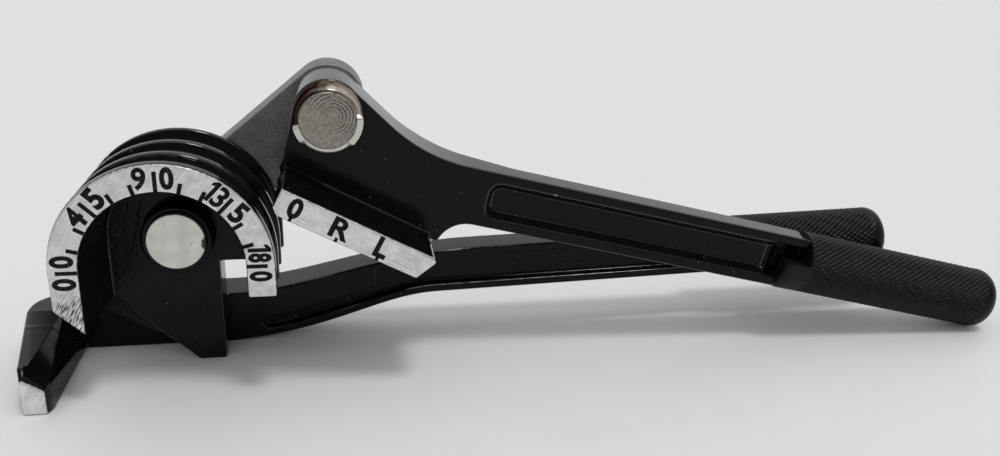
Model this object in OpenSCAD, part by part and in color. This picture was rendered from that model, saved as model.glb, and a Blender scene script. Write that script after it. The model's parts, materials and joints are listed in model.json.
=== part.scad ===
// Lever tube bender for three tube sizes, in millimetres.
// X runs along the handle, Y from the numbered face to the back, Z up.
// The origin lies on the base, under the axis of the bending die, in the middle of the handle plate.

/* [Bending die] */
// Radius of the die at its rim
die_radius = 25; // [20:0.5:32]
// Height of the die axis above the base
die_height = 35.3; // [33:0.1:42]
// Radial width of the numbered ring face
ring_width = 6.6; // [6:0.1:9]
// Amount by which the inside of the ring narrows towards the web
ring_draft = 1; // [0.2:0.1:1.5]
// Outer diameter of the smallest tube
tube_small = 6; // [4:0.1:7]
// Outer diameter of the middle tube
tube_middle = 8; // [6:0.1:9]
// Outer diameter of the largest tube
tube_large = 10; // [8:0.1:10.5]
// Extra groove diameter over the tube
tube_play = 0.2; // [0.05:0.05:0.4]
// Thickness of the wall in front of the smallest groove
front_wall = 3.2; // [2:0.1:5]
// Thickness of the ribs between the grooves
groove_rib = 2.6; // [1.5:0.1:4]
// Thickness of the wall behind the largest groove
rear_wall = 2; // [1.5:0.1:4]
// Thickness of the web that carries the die pin
web_thick = 10; // [7:0.5:13]
// Straight run of the ring below its 180 mark
right_limb = 7.8; // [5:0.2:11]
// Straight run of the ring's rim below its 0 mark
left_limb = 9.3; // [6:0.1:11]
// Slope of the cut under the ring and the lug
lug_slope = 43.5; // [38:0.5:48]
// Distance of the lug's straight side from the die axis
lug_side = 9.4; // [8:0.2:11]

/* [Hook and handle] */
// Gap between the die rim and the hook finger
hook_gap = 3.2; // [2:0.1:5]
// Width of the hook finger along its foot, near its tip
hook_width = 7.1; // [5:0.1:10]
// Extra width of the finger where it leaves the plate
hook_flare = 6.7; // [3:0.1:10]
// Height of the hook finger
hook_height = 11.5; // [9:0.1:13]
// Height of the finger's upright inner lip at its tip
hook_lip = 6.8; // [5:0.1:8]
// Height of that lip where the finger leaves the plate
hook_lip_rear = 2.3; // [1:0.1:5]
// Radius of the hook's outer corner, seen from above
hook_round = 9; // [4:0.5:10]
// Size of the bevel over the tip of the finger
hook_bevel = 2.7; // [1:0.1:3]
// Size of the bevel at the sides of that tip
hook_side_bevel = 0.9; // [0.3:0.1:1.5]
// Height of the handle plate under the die
plate_height = 14.1; // [13.5:0.1:17]
// Height of the plate's rib behind the foot of the web
web_foot_rise = 3; // [2:0.5:5]
// Distance from the die axis to the rib's outer end
web_foot_outer = 22; // [19:0.5:24]
// Distance from the die axis to the rib's inner end
web_foot_inner = 8; // [6:0.5:12]
// Thickness of the handle plate
plate_thick = 12; // [11:0.5:15]
// Distance from the die axis to the start of the handle's neck
neck_start = 10; // [9.5:0.5:14]
// Length of the handle's neck
neck_length = 68; // [50:1:80]
// Distance from the start of the neck to the deep recess between the flanges
recess_lead = 39.4; // [30:0.2:44]
// Distance from the start of the neck to the tip of its long groove
groove_lead = 8; // [5:0.5:20]
// Height of the handle bar's middle line where the neck ends
bar_height = 18.7; // [17:0.1:21]
// Upward slope of the handle bar
bar_slope = 1.7; // [0.5:0.1:3]
// Height of the handle bar's section
handle_bar_width = 12.6; // [11:0.2:15]
// Thickness of the handle bar
handle_bar_thick = 9.5; // [8.5:0.1:11]
// Distance from the die axis to the end of the handle grip
handle_length = 199.8; // [190:0.2:230]

/* [Link and lever] */
// Room between the die rim and the slide block in the bending position
slide_gap = 1.4; // [0.8:0.1:3]
// Height of the lever pin over the slide block's working face
pin_to_slide = 22.9; // [21:0.1:25]
// Angle of the link above the handle at rest
link_angle = 39.6; // [34:0.2:45]
// Width of the link
link_width = 18.4; // [17.5:0.1:20]
// Thickness of the link
link_thick = 10; // [8:0.5:10.5]
// Thickness of the slide block behind its working face
slide_thick = 6.6; // [5.8:0.1:8]
// Length of the slide block beyond the lever pin
slide_reach = 36.8; // [32:0.2:40]
// Length of the slide block behind the lever pin
slide_heel = 3.5; // [2:0.1:5]
// Angle between the slide block and the lever bar
slide_tilt = 14; // [12:0.5:16]
// Radius of the lever's head
head_radius = 8.6; // [8.3:0.1:10]
// Thickness of the lever's head
head_thick = 16.3; // [14:0.1:20]
// Height that the slide block stands proud of the lever's back
slide_proud = 0.3; // [0.2:0.1:1]
// Height of the lever bar's section
lever_bar_width = 14.8; // [13.5:0.1:16.5]
// Thickness of the lever bar
lever_bar_thick = 9; // [8:0.2:11]
// Distance of the lever bar's middle line below the lever pin
lever_drop = 12.7; // [11.5:0.1:13.5]
// Distance from the lever pin to the end of the lever grip, along the bar
lever_length = 196.8; // [180:0.2:220]
// Radius of the hollow between the lever's head and its bar
saddle_radius = 42; // [20:1:50]
// Radius of the notch between the slide block and the lever bar
notch_radius = 8; // [5:0.5:9]
// Width of the foot between the slide block and that notch
notch_foot = 1.9; // [1:0.1:4]
// Length over which the lever's back tapers from its head to its bar
lever_taper = 26; // [15:1:40]

/* [Bars and grips] */
// Width of the flanges round the recess in the handle bar
handle_flange = 2.3; // [1.8:0.1:3.2]
// Width of the flanges round the recess in the lever bar
lever_flange = 2.6; // [1.8:0.1:3.2]
// Depth of the recess in each bar
recess_depth = 2.8; // [1:0.1:3.2]
// Distance from the notch's middle to the start of the lever's front recess
lever_recess_lead = 2; // [1:0.5:8]
// Amount by which the lever's recess narrows towards its floor
recess_draft = 1.6; // [0.4:0.1:2]
// Height of the long groove in the handle's neck
neck_groove = 3.4; // [2:0.1:4]
// Diameter of both grips
grip_diameter = 17; // [15.5:0.1:18]
// Length of the handle grip
handle_grip_length = 52; // [40:1:60]
// Length of the lever grip
lever_grip_length = 68.8; // [55:0.2:75]
// Rounding of the grips' ends
grip_round = 4; // [2:0.1:5]
// Diameter of the tang inside each grip
tang_diameter = 8; // [6:0.2:8.8]
// Wall of the grips past the end of the tang
grip_floor = 5; // [3:0.5:8]
// Length by which a bar's upper half reaches further along its grip than the lower half
grip_step = 6.8; // [2:0.2:9]
// Height above a grip's middle at which its mouth steps back for the bar's upper half
grip_step_height = 1; // [0:0.2:2]
// Length of the open pocket in the lever's front ahead of its grip
pocket_lead = 3.4; // [2.6:0.2:6]

/* [Pins] */
// Diameter of both pins
pin_diameter = 10; // [8:0.2:10.6]
// Diameter of the die pin's flat head
die_head_diameter = 14.4; // [13:0.2:16]
// Diameter of the lever pin's flat head
lever_head_diameter = 13.6; // [12:0.2:14.4]
// Height of the die pin's head
die_head_height = 6.5; // [4:0.1:8]
// Height of the lever pin's head
lever_head_height = 7.2; // [4:0.2:8]
// Depth of the spot face in the web that the die pin's head and collar sit in
seat_depth = 0.3; // [0.2:0.1:1]
// Wall of the collars round the pins' heads
collar_wall = 1.5; // [1:0.1:2]
// Height that the heads stand out of their collars
head_proud = 1.2; // [0.6:0.1:2]
// Wall of the bushes in the link
bush_wall = 1.5; // [1:0.1:2]
// Diameter of the rear washers
rear_washer_diameter = 16; // [14.5:0.2:18]
// Thickness of the rear washers
rear_washer_thick = 1.5; // [1:0.1:2.5]
// Diameter of the riveted rear ends of the pins
rivet_diameter = 13; // [12:0.2:14]
// Height of the riveted rear ends
rivet_height = 2.4; // [1.5:0.1:3]
// Thickness of the thrust washer between the die and the link
thrust_thick = 0.6; // [0.4:0.1:1.2]
// Diameter of the thrust washers
thrust_diameter = 16; // [14:0.2:17]

/* [Clearances] */
// Radial clearance of pins, bushes, washers and grips
fit_play = 0.04; // [0.02:0.01:0.1]
// Side play of the link between its washers
side_play = 0.1; // [0.05:0.05:0.3]
// Room between the lever and the handle plate
lever_room = 0.4; // [0.3:0.1:1]
// Room between the two grips where they pass
grip_room = 1; // [0.5:0.1:1.5]

/* [Hidden] */
$fn = 96;

// Number of steps in a drawn curve
curve_steps = 14;
// Length by which joined solids run into each other
overlap = 1;
// Half size of the blocks that trim a shape
far = 400;
// Thickness of the slices that a tapered solid is stretched between
slice = 0.02;

// Grooves, front to back
groove_diameters = [tube_small + tube_play, tube_middle + tube_play, tube_large + tube_play];
groove_centres = [
    front_wall + groove_diameters[0] / 2,
    front_wall + groove_diameters[0] + groove_rib + groove_diameters[1] / 2,
    front_wall + groove_diameters[0] + groove_diameters[1] + 2 * groove_rib + groove_diameters[2] / 2];
die_depth = groove_centres[2] + groove_diameters[2] / 2 + rear_wall;
ring_inner = die_radius - ring_width;
web_inner = ring_inner - ring_draft;
seat_radius = die_head_diameter / 2 + fit_play + collar_wall + side_play;

// Layers from front to back
plate_front = -plate_thick / 2;
plate_rear = plate_thick / 2;
die_rear = plate_front;
die_front = die_rear - die_depth;
web_front = die_rear - web_thick;
die_seat = web_front + seat_depth;
link_front = die_rear + thrust_thick + side_play;
link_rear = link_front + link_thick;
lever_rear = plate_front - lever_room;
head_rear = lever_rear - slide_proud;
lever_front = head_rear - head_thick;
lever_bar_rear = lever_front + lever_bar_thick;
lever_grip_y = lever_front + lever_bar_thick / 2;
handle_bar_rear = plate_front + handle_bar_thick;
handle_grip_y = max(plate_front + handle_bar_thick / 2, lever_grip_y + grip_diameter + grip_room);
rear_washer_front = link_rear + side_play;
rear_washer_rear = rear_washer_front + rear_washer_thick;

// Hook and handle outline
hook_inner = -die_radius - hook_gap;
hook_tip_outer = hook_inner - hook_width;
plate_left = hook_tip_outer - hook_flare;
neck_end = neck_start + neck_length;
handle_grip_start = handle_length - handle_grip_length;

// Link and lever; the lever's grip lies on the surface that the base stands on
link_length = die_radius + slide_gap + pin_to_slide;
lever_pin_x = link_length * cos(link_angle);
lever_pin_z = die_height + link_length * sin(link_angle);
grip_radius = grip_diameter / 2;
rest_along = lever_length - grip_round;
rest_below = lever_drop + grip_radius - grip_round;
lever_angle = asin((lever_pin_z - grip_round) / norm([rest_along, rest_below])) - atan2(rest_below, rest_along);
lever_bar_top = -lever_drop + lever_bar_width / 2;
lever_bar_low = -lever_drop - lever_bar_width / 2;
lever_grip_start = lever_length - lever_grip_length;
lever_step = -lever_drop + grip_step_height;
lever_step_end = lever_grip_start + grip_step;
slide_back = slide_thick - pin_to_slide;

// Slope of the lever's back where it runs down from the head to the bar; its lines start inside the round head
shoulder_slope = 31;
shoulder_inset = 0.1;
shoulder_radius = head_radius - shoulder_inset;
shoulder_start = shoulder_radius * [sin(shoulder_slope), cos(shoulder_slope)];
shoulder_foot = shoulder_start[0] + (shoulder_start[1] - lever_bar_top) / tan(shoulder_slope);
saddle_x = shoulder_foot + saddle_radius * tan(shoulder_slope / 2);

// Outline of the slide block, along and above its own face, measured from the lever pin
slide_chamfer = 1.5;
slide_slant = 2.6;
slide_bevel = 1;
slide_inset = [0.5, 0.5];
slide_outline = [
    [slide_chamfer - slide_heel, -pin_to_slide],
    [slide_reach - slide_slant, -pin_to_slide],
    [slide_reach, slide_back - slide_bevel],
    [slide_reach - slide_bevel, slide_back],
    [-slide_heel, slide_back],
    [-slide_heel, slide_chamfer - pin_to_slide]];

// Notch in the lever between the slide block and the bar, and the taper of the lever's back
notch_sweep = 75;
notch_x = turn(slide_outline[2], -slide_tilt)[0] + notch_radius + notch_foot;
taper_end = slide_reach + lever_taper / 2;

// Handles of the neck's upper and lower curves, as shares of its length, and how far each curve bows
neck_top_handles = [0.29, 0.56];
neck_low_handles = [0.41, 0.59];
neck_low_reach = 0.82;
neck_top_bow = 1;
neck_low_bow = 2;

// A point turned about the origin
function turn(point, angle) = [
    point[0] * cos(angle) - point[1] * sin(angle),
    point[0] * sin(angle) + point[1] * cos(angle)];

// Points along a round stretch of an outline
function arc(centre, radius, from, to) = [
    for (i = [0 : curve_steps])
        centre + radius * [cos(from + (to - from) * i / curve_steps), sin(from + (to - from) * i / curve_steps)]];

// Points along a smooth curve between two points with two handles
function curve(a, b, c, d) = [
    for (i = [0 : curve_steps])
        let (t = i / curve_steps)
            pow(1 - t, 3) * a + 3 * t * pow(1 - t, 2) * b + 3 * t * t * (1 - t) * c + t * t * t * d];

// Height of the handle bar's middle line
function bar_middle(x) = bar_height + (x - neck_end) * tan(bar_slope);

// Corners of the handle bar's stepped end, along the bar and above its middle line
function handle_end(along, height) =
    [handle_grip_start, bar_middle(handle_grip_start)] + turn([along, height], bar_slope);

// Upper and lower edges of the handle's neck, each moved inwards by a margin
function neck_top(margin) =
    let (end = bar_middle(neck_end) + handle_bar_width / 2 - margin)
        curve([neck_start, plate_height - margin],
            [neck_start + neck_top_handles[0] * neck_length, plate_height - margin],
            [neck_start + neck_top_handles[1] * neck_length, end - neck_top_bow],
            [neck_end, end]);

function neck_low(margin) =
    let (low = margin - handle_bar_width / 2)
        let (handle_x = neck_start + neck_low_handles[1] * neck_length)
            let (reach_x = neck_start + neck_low_reach * neck_length)
                curve([neck_start, margin],
                    [neck_start + neck_low_handles[0] * neck_length, margin + neck_low_bow],
                    [handle_x, bar_middle(handle_x) + low],
                    [reach_x, bar_middle(reach_x) + low]);

// An outline in X and Z, made solid from one depth to another
module slab(front, rear) {
    translate([0, rear, 0]) rotate([90, 0, 0]) linear_extrude(rear - front) children();
}

// A round bar along Y
module rod(front, rear, radius) {
    translate([0, front, 0]) rotate([-90, 0, 0]) cylinder(h = rear - front, r = radius);
}

// A flat ring along Y
module ring(front, rear, outer, inner) {
    difference() {
        rod(front, rear, outer);
        rod(front - overlap, rear + overlap, inner);
    }
}

// A profile of radius against depth, turned about an axis along Y
module turned(front) {
    translate([0, front, 0]) rotate([-90, 0, 0]) rotate_extrude() children();
}

module at_die() {
    translate([0, 0, die_height]) children();
}

module at_lever_pin() {
    translate([lever_pin_x, 0, lever_pin_z]) children();
}

module in_lever() {
    at_lever_pin() rotate([0, lever_angle, 0]) children();
}

module at_handle_grip() {
    translate([handle_grip_start, handle_grip_y, bar_middle(handle_grip_start)])
        rotate([0, 90 - bar_slope, 0]) children();
}

module at_lever_grip() {
    in_lever() translate([lever_grip_start, lever_grip_y, -lever_drop]) rotate([0, 90, 0]) children();
}

module in_slide() {
    rotate([0, slide_tilt, 0]) children();
}

// Section of the die: radius against depth, with its three tube grooves
module die_section() {
    difference() {
        polygon([[ring_inner, 0], [die_radius, 0], [die_radius, die_depth],
            [web_inner - overlap, die_depth], [web_inner - overlap, die_depth - web_thick],
            [web_inner, die_depth - web_thick]]);
        for (i = [0 : 2])
            translate([die_radius, groove_centres[i]]) circle(d = groove_diameters[i]);
    }
}

// Straight run of the die section below the axis
module die_limb(length) {
    translate([0, length, 0]) rotate([90, 0, 0]) linear_extrude(length) die_section();
}

// Web inside the ring and the lug that runs down to the base
module web_outline() {
    intersection() {
        circle(r = web_inner);
        translate([-far / 2, 0]) square([far, far]);
    }
    translate([-web_inner, -die_height]) square([web_inner + lug_side, die_height + overlap]);
    translate([0, -right_limb]) square([web_inner, right_limb + overlap]);
}

module die_body() {
    at_die() difference() {
        union() {
            translate([0, die_front, 0]) rotate([-90, 0, 0]) {
                rotate([0, 0, 180]) rotate_extrude(angle = 180) die_section();
                die_limb(right_limb);
                mirror([1, 0, 0]) die_limb(left_limb + ring_width + overlap);
            }
            slab(web_front, die_rear) web_outline();
        }
        translate([-die_radius, 0, -left_limb]) rotate([0, lug_slope, 0])
            translate([-far / 2, -far / 2, -far]) cube([far, far, far]);
        rod(web_front - overlap, die_rear + overlap, pin_diameter / 2 + fit_play);
        rod(web_front - overlap, die_seat, seat_radius);
    }
}

// Section of the hook's finger, from its foot to its bevelled inner side
module finger_section(outer, lip, top_bevel, side_bevel) {
    slope_width = hook_height - hook_lip;
    polygon([
        [outer + side_bevel, 0],
        [hook_inner - side_bevel, 0],
        [hook_inner - side_bevel, lip],
        [hook_inner - slope_width - side_bevel, hook_height - top_bevel],
        [outer + side_bevel, hook_height - top_bevel]]);
}

module hook_finger() {
    hull() {
        slab(die_front, die_front + slice)
            finger_section(hook_tip_outer, hook_lip - hook_side_bevel, hook_bevel, hook_side_bevel);
        slab(die_front + hook_bevel, die_front + hook_bevel + slice)
            finger_section(hook_tip_outer, hook_lip, 0, 0);
        slab(plate_front, plate_front + overlap) finger_section(plate_left, hook_lip_rear, 0, 0);
    }
}

module handle_outline() {
    polygon(concat(
        [[plate_left, 0]],
        neck_low(0),
        [handle_end(0, -handle_bar_width / 2), handle_end(0, grip_step_height)],
        [handle_end(grip_step, grip_step_height), handle_end(grip_step, handle_bar_width / 2)],
        [for (i = [curve_steps : -1 : 0]) neck_top(0)[i]],
        [[-web_foot_inner, plate_height], [-web_foot_inner - web_foot_rise, plate_height + web_foot_rise]],
        [[-web_foot_outer, plate_height + web_foot_rise], [-web_foot_outer, plate_height]],
        [[hook_inner - hook_width / 2, hook_height], [plate_left, hook_height]]));
}

// Plan of the rounded outer corner of the hook, as the material to take away
module hook_corner() {
    translate([0, 0, -overlap]) linear_extrude(plate_height + 2 * overlap) difference() {
        translate([plate_left - overlap, plate_rear - hook_round])
            square([hook_round + overlap, hook_round + overlap]);
        translate([plate_left + hook_round, plate_rear - hook_round]) circle(r = hook_round);
    }
}

// Depth of the handle: full at the plate, thinner along the bar
module handle_depth() {
    translate([0, 0, -far / 2]) linear_extrude(far) polygon([
        [-far / 2, plate_front - overlap],
        [-far / 2, plate_rear],
        [neck_start + groove_lead, plate_rear],
        [neck_end, handle_bar_rear],
        [far, handle_bar_rear],
        [far, plate_front - overlap]]);
}

// Recess between the flanges of the handle bar, and the groove that leads into it along the neck
module handle_recess() {
    start = neck_start + recess_lead;
    groove_tip = handle_flange + (neck_groove + neck_low_bow) / 2;
    reach = handle_grip_start - handle_flange;
    half = handle_bar_width / 2 - handle_flange;
    intersection() {
        polygon(concat(
            neck_low(handle_flange),
            [[reach, bar_middle(reach) - half], [reach, bar_middle(reach) + half]],
            [for (i = [curve_steps : -1 : 0]) neck_top(handle_flange)[i]]));
        union() {
            translate([start, 0]) square([far, far]);
            intersection() {
                translate([neck_start + groove_lead, groove_tip]) rotate(-45) square(far);
                polygon(concat(
                    neck_low(handle_flange),
                    [for (i = [curve_steps : -1 : 0]) neck_low(handle_flange + neck_groove)[i]]));
            }
        }
    }
}

module die_handle() {
    color("#202123") union() {
        die_body();
        hook_finger();
        difference() {
            intersection() {
                slab(plate_front, plate_rear + overlap) handle_outline();
                handle_depth();
            }
            hook_corner();
            slab(plate_front - overlap, plate_front + recess_depth) handle_recess();
            slab(handle_bar_rear - recess_depth, plate_rear + overlap) handle_recess();
        }
        at_handle_grip() translate([0, 0, -overlap])
            cylinder(h = handle_grip_length - grip_floor + overlap, d = tang_diameter);
    }
}

// Sleeve along +Z with a rounded end, a blind bore for the tang and a stepped mouth that meets a bar
module grip_sleeve(length) {
    difference() {
        rotate_extrude() {
            square([grip_radius - grip_round, length]);
            square([grip_radius, length - grip_round]);
            translate([grip_radius - grip_round, length - grip_round]) circle(r = grip_round);
        }
        translate([0, 0, -overlap])
            cylinder(h = length - grip_floor + overlap + fit_play, d = tang_diameter + 2 * fit_play);
        translate([-grip_step_height - far, -far / 2, -overlap]) cube([far, far, grip_step + overlap]);
    }
}

module handle_grip() {
    color("#18191a") at_handle_grip() grip_sleeve(handle_grip_length);
}

module link() {
    color("#2a2b2d") at_die() difference() {
        slab(link_front, link_rear) {
            circle(d = link_width);
            rotate(link_angle) {
                translate([0, -link_width / 2]) square([link_length, link_width]);
                translate([link_length, 0]) circle(d = link_width);
            }
        }
        for (along = [0, link_length])
            translate(along * [cos(link_angle), 0, sin(link_angle)])
                rod(link_front - overlap, link_rear + overlap, pin_diameter / 2 + bush_wall + 2 * fit_play);
    }
}

module bush() {
    ring(link_front, link_rear, pin_diameter / 2 + bush_wall + fit_play, pin_diameter / 2 + fit_play);
}

module link_die_bush() {
    color("#b08d57") at_die() bush();
}

module link_lever_bush() {
    color("#b08d57") at_lever_pin() bush();
}

// Pin with a flat head in front and a riveted end behind
module pin(seat, head_diameter, head_height) {
    rod(seat - head_height, seat, head_diameter / 2);
    rod(seat - overlap, rear_washer_rear + overlap, pin_diameter / 2);
    turned(rear_washer_rear) polygon([
        [0, 0],
        [rivet_diameter / 2, 0],
        [rivet_diameter / 2, rivet_height / 3],
        [rivet_diameter / 2 - rivet_height / 2, rivet_height],
        [0, rivet_height]]);
}

// Collar with a rounded shoulder round a pin's head
module collar(seat, head_diameter, head_height) {
    inner = head_diameter / 2 + fit_play;
    outer = inner + collar_wall;
    height = head_height - head_proud;
    turned(seat - height) difference() {
        translate([inner, 0]) square([collar_wall, height]);
        difference() {
            translate([outer - collar_wall / 2, -overlap]) square([collar_wall, overlap + collar_wall / 2]);
            translate([outer - collar_wall / 2, collar_wall / 2]) circle(r = collar_wall / 2);
        }
    }
}

module die_pin() {
    color("#c9c7c1") at_die() pin(die_seat, die_head_diameter, die_head_height);
}

module die_pin_collar() {
    color("#1c1d1f") at_die() collar(die_seat, die_head_diameter, die_head_height);
}

module die_thrust_washer() {
    color("#8f8f8c") at_die()
        ring(die_rear, link_front - side_play, thrust_diameter / 2, pin_diameter / 2 + fit_play);
}

module rear_washer() {
    ring(rear_washer_front, rear_washer_rear, rear_washer_diameter / 2, pin_diameter / 2 + fit_play);
}

module die_rear_washer() {
    color("#9a9a98") at_die() rear_washer();
}

// Outline of the lever, along and across its bar, measured from the lever pin; it runs into the slide block
module lever_outline() {
    circle(r = head_radius);
    polygon(concat(
        [[-shoulder_radius, 0]],
        [turn(slide_outline[5] + slide_inset, -slide_tilt)],
        [turn(slide_outline[2] - slide_inset, -slide_tilt)],
        arc([notch_x, lever_bar_low - notch_radius], notch_radius, 90 + notch_sweep, 90),
        [[lever_grip_start, lever_bar_low], [lever_grip_start, lever_step]],
        [[lever_step_end, lever_step], [lever_step_end, lever_bar_top]],
        arc([saddle_x, lever_bar_top + saddle_radius], saddle_radius, 270, 270 - shoulder_slope),
        [shoulder_start],
        [[0, 0]]));
}

// Outline of a recess in the lever bar, rounded towards the head and moved inwards by a margin
module recess_outline(lead, margin) {
    start = lead + margin;
    low = lever_bar_low + lever_flange + margin;
    height = lever_bar_width - 2 * (lever_flange + margin);
    round_end = height / 3;
    translate([start + round_end, low])
        square([lever_grip_start - lever_flange - margin - start - round_end, height]);
    for (side = [low + round_end, low + height - round_end])
        translate([start + round_end, side]) circle(r = round_end, $fn = 32);
}

// Recess in one face of the lever bar, with sloping walls
module lever_recess(mouth, floor, lead) {
    hull() {
        slab(mouth, mouth + slice) recess_outline(lead, 0);
        slab(floor, floor + slice) recess_outline(lead, recess_draft);
    }
}

// Open pocket in the lever's front that runs from the recess to the grip's stepped mouth
module end_pocket() {
    low = lever_bar_low + lever_flange;
    start = lever_grip_start - pocket_lead;
    slab(lever_front - overlap, lever_grip_y) polygon([
        [start, low],
        [lever_grip_start + fit_play, low],
        [lever_grip_start + fit_play, lever_step],
        [lever_step_end, lever_step],
        [lever_step_end, lever_bar_top - lever_flange],
        [start, lever_bar_top - lever_flange]]);
}

// Depth of the lever along its bar: full at the head, thinner along the bar
module lever_depth() {
    translate([0, 0, -far / 2]) linear_extrude(far) polygon([
        [-far / 2, lever_front - overlap],
        [-far / 2, head_rear],
        [taper_end - lever_taper, head_rear],
        [taper_end, lever_bar_rear],
        [far, lever_bar_rear],
        [far, lever_front - overlap]]);
}

module slide_lever() {
    color("#202123") in_lever() difference() {
        union() {
            intersection() {
                slab(lever_front, lever_rear) lever_outline();
                lever_depth();
            }
            in_slide() slab(die_front, lever_rear) polygon(slide_outline);
            translate([lever_grip_start - overlap, lever_grip_y, -lever_drop]) rotate([0, 90, 0])
                cylinder(h = lever_grip_length - grip_floor + overlap, d = tang_diameter);
        }
        lever_recess(lever_front - slice, lever_front + recess_depth, notch_x + lever_recess_lead);
        lever_recess(lever_bar_rear, lever_bar_rear - recess_depth, taper_end + lever_flange);
        end_pocket();
        in_slide() for (i = [0 : 2])
            translate([-far / 2, die_front + groove_centres[i], -pin_to_slide]) rotate([0, 90, 0])
                cylinder(h = far, d = groove_diameters[i]);
        rod(lever_front - overlap, lever_rear + overlap, pin_diameter / 2 + fit_play);
    }
}

module lever_grip() {
    color("#18191a") at_lever_grip() grip_sleeve(lever_grip_length);
}

module lever_pin() {
    color("#8d8780") at_lever_pin() pin(lever_front, lever_head_diameter, lever_head_height);
}

module lever_pin_collar() {
    color("#5a504a") at_lever_pin() collar(lever_front, lever_head_diameter, lever_head_height);
}

module lever_thrust_washer() {
    color("#8f8f8c") at_lever_pin()
        ring(head_rear, link_front - side_play, thrust_diameter / 2, pin_diameter / 2 + fit_play);
}

module lever_rear_washer() {
    color("#9a9a98") at_lever_pin() rear_washer();
}

die_handle();
handle_grip();
link();
link_die_bush();
link_lever_bush();
die_pin();
die_pin_collar();
die_thrust_washer();
die_rear_washer();
slide_lever();
lever_grip();
lever_pin();
lever_pin_collar();
lever_thrust_washer();
lever_rear_washer();
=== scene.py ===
"""Looks of a lever tube bender: painted castings, milled faces, riveted pivots and knurled grips."""
import json
from itertools import pairwise
from math import cos, pi, radians, sin, tau

import bmesh
import bpy
from mathutils import Matrix, Vector
from mathutils.bvhtree import BVHTree
from mathutils.geometry import intersect_point_line


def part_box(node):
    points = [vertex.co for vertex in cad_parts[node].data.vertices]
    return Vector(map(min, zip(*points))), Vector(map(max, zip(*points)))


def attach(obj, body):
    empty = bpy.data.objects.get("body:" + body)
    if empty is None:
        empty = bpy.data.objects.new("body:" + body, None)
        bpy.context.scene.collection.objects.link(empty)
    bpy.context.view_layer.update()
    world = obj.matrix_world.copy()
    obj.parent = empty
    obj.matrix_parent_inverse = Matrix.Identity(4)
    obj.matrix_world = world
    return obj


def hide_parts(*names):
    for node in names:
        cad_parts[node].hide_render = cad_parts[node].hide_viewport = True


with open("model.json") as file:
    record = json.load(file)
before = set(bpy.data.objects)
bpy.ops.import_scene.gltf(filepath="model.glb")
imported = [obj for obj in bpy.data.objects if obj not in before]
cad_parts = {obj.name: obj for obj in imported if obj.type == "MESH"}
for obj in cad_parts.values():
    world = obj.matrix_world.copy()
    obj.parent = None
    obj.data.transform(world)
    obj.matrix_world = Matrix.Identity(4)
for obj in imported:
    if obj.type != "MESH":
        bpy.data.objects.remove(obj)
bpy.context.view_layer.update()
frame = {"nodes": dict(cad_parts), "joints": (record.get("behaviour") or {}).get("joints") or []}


# The photograph's view: in front of the numbered face, a little above the bench and turned to the right.
# The place, aim and lens were worked out from the round edges of the die and the length of the levers.
mm = 0.001
eye = Vector((40.77, -255.81, 118.66)) * mm
aim = Vector((81.10, -20.0, 35.29)) * mm
roll = radians(1.30)
camera = bpy.data.objects.new("camera", bpy.data.cameras.new("camera"))
camera.data.lens = 34.96
camera.data.sensor_width = 36.0
camera.data.clip_start = 10 * mm
turn_to_aim = (aim - eye).to_track_quat("-Z", "Y").to_matrix().to_4x4()
camera.matrix_world = Matrix.Translation(eye) @ turn_to_aim @ Matrix.Rotation(roll, 4, "Z")
bpy.context.scene.collection.objects.link(camera)
bpy.context.scene.camera = camera


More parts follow.
